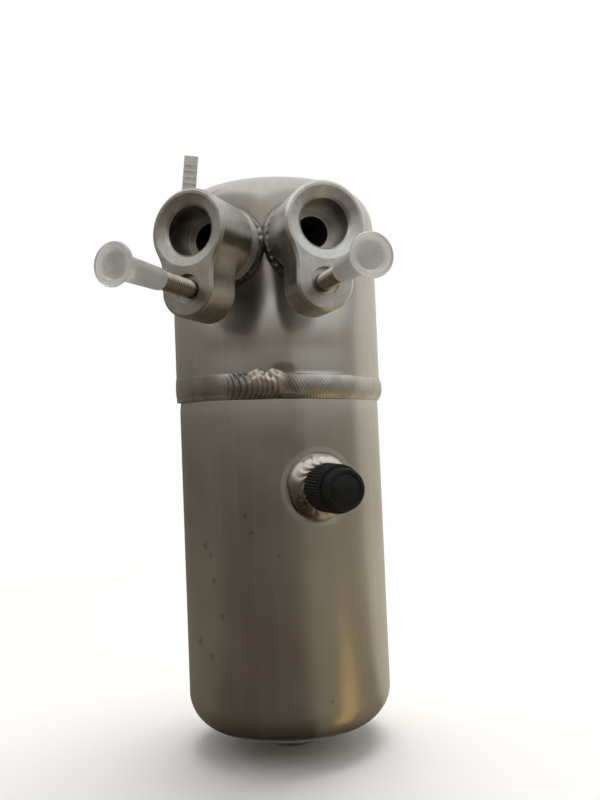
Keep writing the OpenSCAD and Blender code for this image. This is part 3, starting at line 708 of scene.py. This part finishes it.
def press_flats(outer_rings):
    """Shape that presses the two flats into both faces of the upper shell's wall, the outer rings first."""
    least_depth, least_facing, out_of_reach = 0.01, 0.2, 1e3

    def shape(number, radius, height, turn):
        """Ring moved in to the flats."""
        inset = 0 if number < outer_rings else wall
        above = height - seam_z
        foot = flat_foot_depth * smooth_step(above, flat_start_h, flat_foot_h)
        depth = foot + (flat_depth - flat_foot_depth) * smooth_step(above, flat_step_h, flat_full_h)
        plane = upper_r - inset - depth
        angle = np.degrees(turn) - ridge_lean * (1 - smooth_step(above, lean_low_h, lean_high_h))
        sides = []
        for centre in (-flat_angle, flat_angle):
            away = np.radians((angle - centre + 180) % 360 - 180)
            facing = np.maximum(np.cos(away), least_facing)
            sides.append(np.where(depth > least_depth, plane / facing, out_of_reach))
        return soft_min([radius, *sides], flat_softness), height

    return shape


def drill(piece, place, radius, low, high):
    """Round hole through a piece along a local Z axis."""
    cutter = lathe("cutter", [(0, low), (radius, low), (radius, high), (0, high)], 64, place, closed=False)
    cut = piece.modifiers.new("hole", "BOOLEAN")
    cut.object = cutter
    cut.solver = "EXACT"
    bpy.context.view_layer.objects.active = piece
    bpy.ops.object.modifier_apply(modifier=cut.name)
    bpy.data.objects.remove(cutter)


def make_upper_shell():
    """Drawn cup with a domed top and two pressed flats, with the holes that take the blocks' necks."""
    skins = []
    for inset in (0, wall):
        top = dome_run(upper_r - inset, shoulder_r - inset, top_dome_r - inset, 0.0, 24)
        run = shifted(top, top_z - inset, -1)
        skins.append(join_runs(run, line(run[-1], (upper_r - inset, edge_z), 64)))
    outer, inner = skins
    shape = press_flats(len(outer))
    shell = lathe("upper_shell_drawn", outer + inner[::-1], CAN_SEGMENTS, shape=shape, closed=False)
    for place in (inlet_place, outlet_place):
        drill(shell, place, neck_r + hole_clearance, *neck_hole_reach)
    return shell


lower_shell = make_lower_shell()
drill(lower_shell, service_place, shank_r + hole_clearance, *shank_hole_reach)
dress(lower_shell, lower_metal, "lower_shell", "can")
dress(make_upper_shell(), upper_metal, "upper_shell", "can")


# Weld beads

neck_bead_r, neck_bead_h = 14.6, 1.6
# How far the service bead's waves reach over its crown
service_wave_h = 0.3


def ripple(phase):
    """Height from 0 to 1 of overlapping weld scales."""
    f = phase - np.floor(phase)
    return np.sin(math.pi * f ** 0.55)


def make_girth_weld():
    """Bead round the lap, higher at the left: smooth, then coarse scales and lumps where the run ends, a
    crater where it starts, and fine slanted ripples elsewhere. Angles are degrees right of the ridge."""
    across, around = 34, 1800
    bead_r, bead_rise, foot_sink, top_stand = 6.5, 2.3, 0.1, 0.05
    centre_r, centre_z = crest_r - bead_r, edge_z + bead_rise
    low = -math.acos((can_r - foot_sink - centre_r) / bead_r)
    high = math.acos((upper_r + top_stand - centre_r) / bead_r)
    v = np.linspace(-1, 1, across)[:, None]
    angle = np.linspace(-180, 180, around, endpoint=False)[None, :]
    leftward = -np.sin(np.radians(angle))
    slope = low + (high - low) * (v + 1) / 2
    mm_round = angle * crest_r * math.pi / 180

    # Where the bead is coarse, calm, and dressed nearly flush with the upper shell
    coarse = window(angle, (-25, -18), (5, 8))
    calm = 1 - 0.85 * window(-angle, (20, 26), (75, 95))
    flush = window(-angle, (20, 32), (110, 140))

    # Scales and ripples, bent and slanted across the bead
    coarse_pitch, coarse_h, coarse_bend = 2.0, 0.34, 1.1
    fine_pitch, fine_h, fine_slant, fine_bend = 1.15, 0.09, 2.0, 0.5
    wander = 0.3 * np.sin(np.radians(angle * 7)) + 0.2 * np.sin(np.radians(angle * 17 + 40))
    scales = ripple(mm_round / coarse_pitch + coarse_bend * v * v + wander)
    fine = ripple(mm_round / fine_pitch + fine_slant * v + fine_bend * v * v + wander)
    body = np.cos(v * math.pi / 2) ** 0.5
    height = (coarse_h * coarse * scales + fine_h * (1 - coarse) * calm * fine) * body

    # Two lumps on the bead's upper half, and the crater beside them
    lump_h, pit_h, pit_size, half_width, lump_seed = 0.75, 0.22, 1.1, 4.2, 5
    crater_angle, crater_width, crater_depth = 10.2, 3.6, 0.6
    lumps = np.maximum(0.9 * bump_at(angle, -5.6, 3.4), 0.95 * bump_at(angle, 2.9, 4.4))
    crest = lumps * np.exp(-((v - 0.62) / 0.42) ** 2)
    crater = bump_at(angle, crater_angle, crater_width) * np.cos(v * math.pi / 2)
    pitted = rubble(mm_round, half_width * v, pit_size, lump_seed)
    height = height + crest * (lump_h + pit_h * pitted) - crater_depth * crater

    # The bead leans and spreads upwards, and stays just outside the upper shell where it covers that
    flush_share, flush_stand, cover_stand, cover_lap = 0.6, 0.1, 0.06, 0.2
    radius = centre_r + bead_r * np.cos(slope)
    radius = radius - flush_share * flush * np.maximum(radius - upper_r - flush_stand, 0) + height
    lean = 0.6 + leftward
    spread = 1.5 + 0.5 * leftward + 1.5 * lumps * (1 + 0.3 * pitted)
    z = centre_z + bead_r * np.sin(slope) + lean + spread * smooth_step(v, -0.2, 1) + 0.15 * wander
    radius = np.where(z > edge_z - cover_lap, np.maximum(radius, upper_r + cover_stand), radius)
    turn = np.radians(angle) + 0 * radius
    outer = np.stack([radius * np.sin(turn), -radius * np.cos(turn), z], -1)
    root_sink = 0.3
    root_r = upper_r - wall - root_sink
    root_x, root_y = root_r * np.sin(turn[0]), -root_r * np.cos(turn[0])
    roots = [np.stack([root_x, root_y, row[:, 2]], -1)[None] for row in (outer[-1], outer[0])]

    # Soot and painted shade in the hollows, painted shade along both edges, brown stains, and the pale lumps
    # with a painted highlight
    hollow = coarse * (0.35 + 0.65 * (1 - scales)) + 0.32 * (1 - coarse) * calm * (1 - fine) + 0.25 * flush
    hollow = np.clip(hollow * (1 - crest), 0, 1)
    hollow = np.maximum(hollow, 0.75 * smooth_step(np.abs(v), 0.86, 1.0) * (1 - crest))
    stain = np.clip(0.55 * bump_at(angle, 9.0, 4.5) + 0.25 * bump_at(angle, -40, 22), 0, 1) + 0 * v
    # Pale lumps, which also carry a painted highlight
    pale = np.clip(crest * (1.1 + 0.5 * pitted), 0, 0.95)
    unmarked = np.zeros((len(roots), around))
    marks = {key: np.concatenate([values, unmarked])
             for key, values in (("hollow", hollow), ("stain", stain), ("pale", pale))}
    return grid_ring("girth_weld_bead", np.concatenate([outer, *roots]), marks=marks)


def ring_bead(name, place, inner_r, outer_r, crown, seat, scales, depth, lump_h=0.0):
    """Fillet bead of overlapping crescents round an axis, with lumps of a given height, soot all round and
    painted shade at its lower half, or painted shade at one side if it has none. seat gives the height of
    what it lies on, from x and y."""
    across, around = 32, 900
    lump_size, lump_seed = 1.6, 3
    root_sink, foot_sink, edge_drop = 1.2, 0.8, 0.15
    # Side that takes painted shade on a bead without lumps, and its width, in degrees
    shade_angle, shade_width = 214, 44
    u = np.linspace(0, 1, across)[:, None]
    turn = full_turn(around)[None, :]
    wander = 0.25 * np.sin(3 * turn + 0.7) + 0.15 * np.sin(5 * turn)
    phase = scales * turn / (2 * math.pi) + 1.3 * (1.7 * u - 0.9) ** 2 + wander
    scale = 0.5 - 0.5 * np.cos(2 * math.pi * (phase - np.floor(phase)) ** 0.75)
    swell = crown * np.sqrt(np.clip(1 - u ** 2.2, 0, 1))
    swell = swell + depth * scale * np.sin(math.pi * np.clip(u, 0.03, 1))
    edge = outer_r - 0.3 + 0.3 * np.sin(3 * turn + 1) + 0.15 * np.sin(7 * turn)
    radius = inner_r + (edge - inner_r) * u
    x, y = radius * np.cos(turn), radius * np.sin(turn)
    swell = swell + lump_h * rubble(x, y, lump_size, lump_seed) * np.sin(math.pi * u)
    top = np.stack([x, y, seat(x, y) + swell - edge_drop * u], -1)
    root = top[[0]].copy()
    root[..., 2] = seat(x[[0]], y[[0]]) - root_sink
    foot = top[[-1]].copy()
    foot[..., 2] -= foot_sink
    # Painted shade on the lower side, with soot all round on a lumpy bead, and painted shade along the outer
    # edge
    if lump_h == 0:
        lower_shade_and_soot = bump_at(np.degrees(turn), shade_angle, shade_width) * smooth_step(u, 0.0, 0.3)
    else:
        lower_shade_and_soot = 0.3 + 0.65 * smooth_step(-np.sin(turn), -0.4, 0.5) - 0.15 * scale
    hollow = np.clip(np.maximum(lower_shade_and_soot, 0.7 * smooth_step(u, 0.92, 1.0)) + 0 * turn, 0, 1)
    marks = {"hollow": np.concatenate([hollow, np.zeros((2, around))])}
    return grid_ring(name, np.concatenate([top, foot, root]), place, marks)


def can_seat(x, y):
    """Height of the can's side over its axis, under the service port's bead."""
    return np.sqrt(can_r ** 2 - x ** 2)


def flat_seat(weld_top, tilt):
    """Height of a pressed flat under a neck's bead, as a function of x and y."""
    return lambda x, y: weld_top - neck_bead_h + tilt * y


dress(make_girth_weld(), bead_metal, "girth_weld", "can")
_, service_high, service_weld_r = reach("service_weld", service_place)
service_bead = ring_bead("service_weld_bead", service_place, shank_r, service_weld_r,
                         service_high - can_r - service_wave_h, can_seat, scales=20, depth=0.16)
dress(service_bead, shiny_metal, "service_weld", "can")
for side, place in (("inlet", inlet_place), ("outlet", outlet_place)):
    neck_seat = flat_seat(reach(f"{side}_weld", place)[1], place.to_3x3().col[2].z)
    neck_bead = ring_bead(f"{side}_neck_bead", place, neck_r, neck_bead_r, neck_bead_h, neck_seat,
                          scales=20, depth=0.1, lump_h=0.2)
    dress(neck_bead, sooty_metal, f"{side}_weld", "can")


# Studs and their protectors


def make_stud(name, node, place):
    """Plated stud with a rolled helical thread along its whole length and a pointed end."""
    low, high, stud_r = reach(node, place)
    pitch, depth, around, steps_per_turn = 1.0, 0.42, 40, 8
    point_l, point_depth = 1.2, 1.1
    steps = int((high - low) / pitch * steps_per_turn)
    rows = []
    turn = full_turn(around)
    for k in range(steps + 1):
        z = low + (high - low) * k / steps
        phase = z / pitch - turn / (2 * math.pi)
        f = np.abs(2 * (phase - np.floor(phase)) - 1)
        thread = depth * smooth_step(f, 0.12, 0.88)
        point = point_depth * smooth_step(z, high - point_l, high)
        r = stud_r - depth + thread - point
        rows.append(np.stack([r * np.cos(turn), r * np.sin(turn), np.full(around, z)], 1))
    return capped_tube(name, np.array(rows), place)


def make_protector(name, node, place):
    """Push-on cap: blind tapered tube and a thin round-edged end flange with a moulded ring and gate mark."""
    low, high, flange_r = reach(node, place)
    mouth_r, tube_r, bore_r, bore_l, flange_t = 3.45, 3.85, 2.66, 13, 2.2
    mouth_edge, flange_fillet = 0.25, 0.8
    bore_end = low + bore_l
    flange = high - flange_t
    edge = 0.45 * flange_t
    ring_r = 0.74 * flange_r
    profile = join_runs(
        [(bore_r, low)],
        arc((mouth_r - mouth_edge, low + mouth_edge), mouth_edge, -90, 0, 4),
        line((mouth_r, low + mouth_edge), (tube_r, flange - flange_fillet), 6),
        arc((tube_r + flange_fillet, flange - flange_fillet), flange_fillet, 180, 90, 4),
        arc((flange_r - edge, flange + edge), edge, -90, 90, 10),
        [(ring_r + 0.3, high - 0.04), (ring_r, high - 0.16), (ring_r - 0.3, high - 0.06)],
        [(1.2, high - 0.12), (0.9, high - 0.25), (0.5, high - 0.25), (0.35, high), (0, high)],
        [(0, bore_end), (bore_r * 0.6, bore_end), (bore_r, bore_end - 1.0)],
    )
    return lathe(name, profile, 96, place, 40, closed=False)


for side, place in (("inlet", inlet_stud_place), ("outlet", outlet_stud_place)):
    stud = make_stud(f"{side}_stud_threaded", f"{side}_stud", place)
    stud_metal = plated_steel(f"plated_{side}_stud", place, reach(f"{side}_stud", place)[2])
    dress(stud, stud_metal, f"{side}_stud", "can")
    cap = make_protector(f"{side}_stud_protector", f"{side}_stud_cap", place)
    dress(cap, cap_plastic, f"{side}_stud_cap", f"{side}_stud_cap")


# Dust cap


def make_dust_cap():
    """Cap with a fine axial grip on its skirt, a shoulder and a narrower end with a raised ring."""
    low, high, skirt_r = reach("service_cap", service_place)
    end_r, end_l, end_edge, pocket_r, roof_t = 6.85, 4.6, 0.9, 6.0, 3.9
    grip_count, grip_depth, points_per_tooth = 48, 0.42, 10
    draft, shoulder_edge, groove = 0.2, 0.6, 0.25
    roof = high - roof_t
    shoulder = high - end_l
    collar_r = skirt_r - draft
    profile = join_runs(
        [(pocket_r, low), (skirt_r - 0.4, low)],
        line((skirt_r, low + 0.5), (collar_r, shoulder - shoulder_edge), 16),
        arc((collar_r - shoulder_edge, shoulder - shoulder_edge), shoulder_edge, 0, 90, 4),
        [(end_r - groove, shoulder + 0.1), (end_r - groove, shoulder + 0.4)],
        arc((end_r - 0.3, shoulder + 0.8), 0.4, -60, 0, 3),
        line((end_r + 0.1, shoulder + 0.8), (end_r, high - end_edge), 4),
        arc((end_r - end_edge, high - end_edge), end_edge, 0, 90, 5),
        [(end_r - 1.5, high), (end_r - 1.75, high - 0.35), (end_r - 2.1, high - 0.35)],
        [(end_r - 2.4, high - 0.15), (0, high - 0.25)],
        [(0, roof), (pocket_r, roof)],
    )

    def grip(number, radius, height, turn):
        """Ring cut in between the teeth."""
        tooth = np.abs(np.sin(turn * grip_count / 2))
        on_side = smooth_step(radius, pocket_r + 1.2, pocket_r + 1.3)
        along = window(height, (low + 0.1, low + 0.6), (shoulder - shoulder_edge, shoulder - 0.1))
        return radius - grip_depth * on_side * along * (1 - tooth) ** 1.3, height

    return lathe("dust_cap_grip", profile, grip_count * points_per_tooth, service_place, 45, grip)


dress(make_dust_cap(), black_plastic, "service_cap", "service_cap")


# Valve spring, built at rest with a mesh of its own; the real spring shortens as the pin is pressed


def make_spring(low, high, outer_r):
    """Spring wound from round wire, between two heights on the service port's axis."""
    wire_r, turns, ring_points, turn_steps = 0.25, 5, 10, 36
    turn = np.linspace(0, 2 * math.pi * turns, turns * turn_steps + 1)[:, None]
    around = full_turn(ring_points)[None, :]
    radius = outer_r - wire_r + wire_r * np.cos(around)
    rise = (high - low - 2 * wire_r) * turn / turn[-1]
    height = low + wire_r + rise + wire_r * np.sin(around)
    rings = np.stack([radius * np.cos(turn), radius * np.sin(turn), height], -1)
    return capped_tube("valve_spring_wound", rings, service_place)


spring_low, spring_high, spring_r = reach("valve_spring", service_place)
spring = make_spring(spring_low, spring_high, spring_r)
dress(spring, spring_steel, "valve_spring", "can")
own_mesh(spring)


# Stage: pale floor, white surround, matt cards that the metal reflects, and one soft lamp

scene = bpy.context.scene
scene.view_settings.view_transform = "Standard"
floor_z = cad_box[0][2]
floor_mm = floor_z / MM
# Strength of the surround for the light that it gives, and for what is seen
GIVEN_LIGHT, SEEN_LIGHT = 0.75, 1.0
# Floor's radius and the distances over which it turns white, in metres
FLOOR_R, FLOOR_FADE = 6, (0.16, 0.55)
# Radius and top of the upright cards, radii of the floor cards, and heights over the floor
CARD_R, CARD_TOP = 1100, 750
FLOOR_CARD_INNER, FLOOR_CARD_OUTER = 28, 1090
FLOOR_CARD_LIFT, STRIP_LIFT = 1, 2
RIGHT_FLOOR_TONE = (0.25, 0.215, 0.15)
STRIP_TONE = (0.84, 0.59, 0.25)
STRIP_FADE = (150, 250)
STRIP_CORNERS = ((26, -37), (33, -27), (218, -60), (208, -108))


def light_path_mask(tree):
    """1 for camera, glossy and transmission rays."""
    path = tree.nodes.new("ShaderNodeLightPath")
    total = path.outputs["Is Camera Ray"]
    for name in ("Is Glossy Ray", "Is Transmission Ray"):
        both = tree.nodes.new("ShaderNodeMath")
        both.operation = "MAXIMUM"
        tree.links.new(total, both.inputs[0])
        tree.links.new(path.outputs[name], both.inputs[1])
        total = both.outputs[0]
    return total


def make_world():
    """White surround for what is seen, dimmer for the light that it gives."""
    world = bpy.data.worlds.new("white_surround")
    scene.world = world
    world.use_nodes = True
    tree = world.node_tree
    background = tree.nodes["Background"]
    strength = tree.nodes.new("ShaderNodeMapRange")
    strength.inputs[3].default_value = GIVEN_LIGHT
    strength.inputs[4].default_value = SEEN_LIGHT
    tree.links.new(light_path_mask(tree), strength.inputs[0])
    background.inputs[0].default_value = (1, 1, 1, 1)
    tree.links.new(strength.outputs[0], background.inputs[1])


def make_floor():
    """Pale floor that fades into the white surround away from the part."""
    bpy.ops.mesh.primitive_circle_add(vertices=96, radius=FLOOR_R, fill_type="NGON", location=(0, 0, floor_z))
    floor = bpy.context.object
    floor.name = "floor"
    g = Graph("pale_floor")
    far = g.band(g.vector("LENGTH", g.point), *FLOOR_FADE)
    white = g.add("ShaderNodeEmission", {"Color": (1, 1, 1, 1), "Strength": 1.0})
    seen = g.times(far, light_path_mask(g.tree))
    g.set(Base_Color=(0.9, 0.9, 0.89), Roughness=0.9)
    blend = g.add("ShaderNodeMixShader", {0: seen, 1: g.shader.outputs[0], 2: white.outputs[0]})
    g.feed(g.tree.nodes["Material Output"].inputs[0], blend.outputs[0])
    floor.data.materials.append(g.material)


def hang_card(card, material, on_floor):
    """Hides a card from the camera and from shadows, and a floor card from soft light too."""
    card.data.materials.append(material)
    card.visible_camera = False
    card.visible_shadow = False
    card.visible_diffuse = not on_floor


def make_card(name, course, start, end, low_tone, high_tone, on_floor=False):
    """Matt card curved round the part between two angles, from a course of (radius, height) points."""
    angles = np.radians(np.linspace(start, end, 25))
    vertices = [(r * math.sin(a), -r * math.cos(a), z) for r, z in course for a in angles]
    card = mesh_object(name, np.array(vertices), quads(len(course), len(angles), False, False))
    g = Graph(name)
    tone = g.mix(g.band(g.height(), course[0][1], course[-1][1] + 1), low_tone, high_tone)
    g.set(Base_Color=tone, Roughness=1.0)
    hang_card(card, g.material, on_floor)


def make_strip():
    """Narrow warm card on the floor, which takes on the floor card's tone away from the part."""
    corners = [(x, y, floor_mm + STRIP_LIFT) for x, y in STRIP_CORNERS]
    strip = mesh_object("warm_strip", np.array(corners), [(0, 1, 2, 3)])
    g = Graph("warm_strip")
    colour = g.mix(g.noise(0.03, detail=2), STRIP_TONE, tuple(0.8 * c for c in STRIP_TONE))
    away = g.math("DIVIDE", g.vector("LENGTH", g.point), MM)
    g.set(Base_Color=g.mix(g.band(away, *STRIP_FADE), colour, RIGHT_FLOOR_TONE), Roughness=1.0)
    hang_card(strip, g.material, True)


def make_lamp():
    """Soft lamp over the part, unseen by the camera and in reflections."""
    place, target = Vector((100, 250, 1100)), Vector((0, 0, 120))
    lamp = bpy.data.lights.new("top_lamp", "AREA")
    lamp.shape = "RECTANGLE"
    lamp.size, lamp.size_y = 900 * MM, 700 * MM
    lamp.energy = 9.0
    lamp.color = (1.0, 0.98, 0.95)
    holder = bpy.data.objects.new("top_lamp", lamp)
    holder.location = place * MM
    holder.rotation_euler = (target - place).to_track_quat("-Z", "Y").to_euler()
    holder.visible_camera = False
    holder.visible_glossy = False
    scene.collection.objects.link(holder)


make_world()
make_floor()
for name, start, end, low_tone, high_tone in (
        ("left_card", -165, -40, (0.17, 0.155, 0.125), (0.52, 0.51, 0.49)),
        ("front_card", -40, 30, (0.13, 0.112, 0.09), (0.72, 0.70, 0.67)),
        ("right_card", 30, 100, (0.28, 0.26, 0.21), (0.82, 0.83, 0.86)),
        ("far_right_card", 100, 165, (0.80, 0.76, 0.68), (1.0, 1.0, 1.0))):
    make_card(name, [(CARD_R, floor_mm), (CARD_R, CARD_TOP)], start, end, low_tone, high_tone)
floor_card_z = floor_mm + FLOOR_CARD_LIFT
floor_course = [(FLOOR_CARD_INNER, floor_card_z), (FLOOR_CARD_OUTER, floor_card_z)]
for name, start, end, tone in (
        ("left_floor_card", -165, -68, (0.15, 0.135, 0.10)),
        ("front_floor_card", -68, 24, (0.10, 0.078, 0.057)),
        ("right_floor_card", 24, 104, RIGHT_FLOOR_TONE),
        ("far_right_floor_card", 104, 165, (0.55, 0.50, 0.40))):
    make_card(name, floor_course, start, end, tone, tone, on_floor=True)
make_strip()
make_lamp()


# Camera at the photograph's place, with its turns in radians

IMAGE_LONG, FOCAL_PX = 800, 800
SENSOR = 36
NEAR_CLIP = 0.01
camera_turn = 0.0881
camera_distance = 310.41
camera_height = seam_z - 9.45
camera_yaw, camera_pitch, camera_roll = 0.0264, 0.0407, -0.0409


def make_camera():
    """Camera on a circle round the can, aimed by its yaw, pitch and roll."""
    heading = camera_yaw - camera_turn
    level = math.cos(camera_pitch)
    forward = Vector((math.sin(heading) * level, math.cos(heading) * level, math.sin(camera_pitch)))
    right = Vector((math.cos(heading), -math.sin(heading), 0))
    up = right.cross(forward)
    side = math.cos(camera_roll) * right + math.sin(camera_roll) * up
    top = math.cos(camera_roll) * up - math.sin(camera_roll) * right
    camera = bpy.data.cameras.new("camera")
    camera.sensor_width = SENSOR
    camera.lens = FOCAL_PX * SENSOR / IMAGE_LONG
    camera.clip_start = NEAR_CLIP
    place = Matrix((side, top, -forward)).transposed().to_4x4()
    across, back = camera_distance * math.sin(camera_turn), camera_distance * math.cos(camera_turn)
    place.translation = Vector((across, -back, camera_height)) * MM
    holder = bpy.data.objects.new("camera", camera)
    holder.matrix_world = place
    scene.collection.objects.link(holder)
    scene.camera = holder


make_camera()
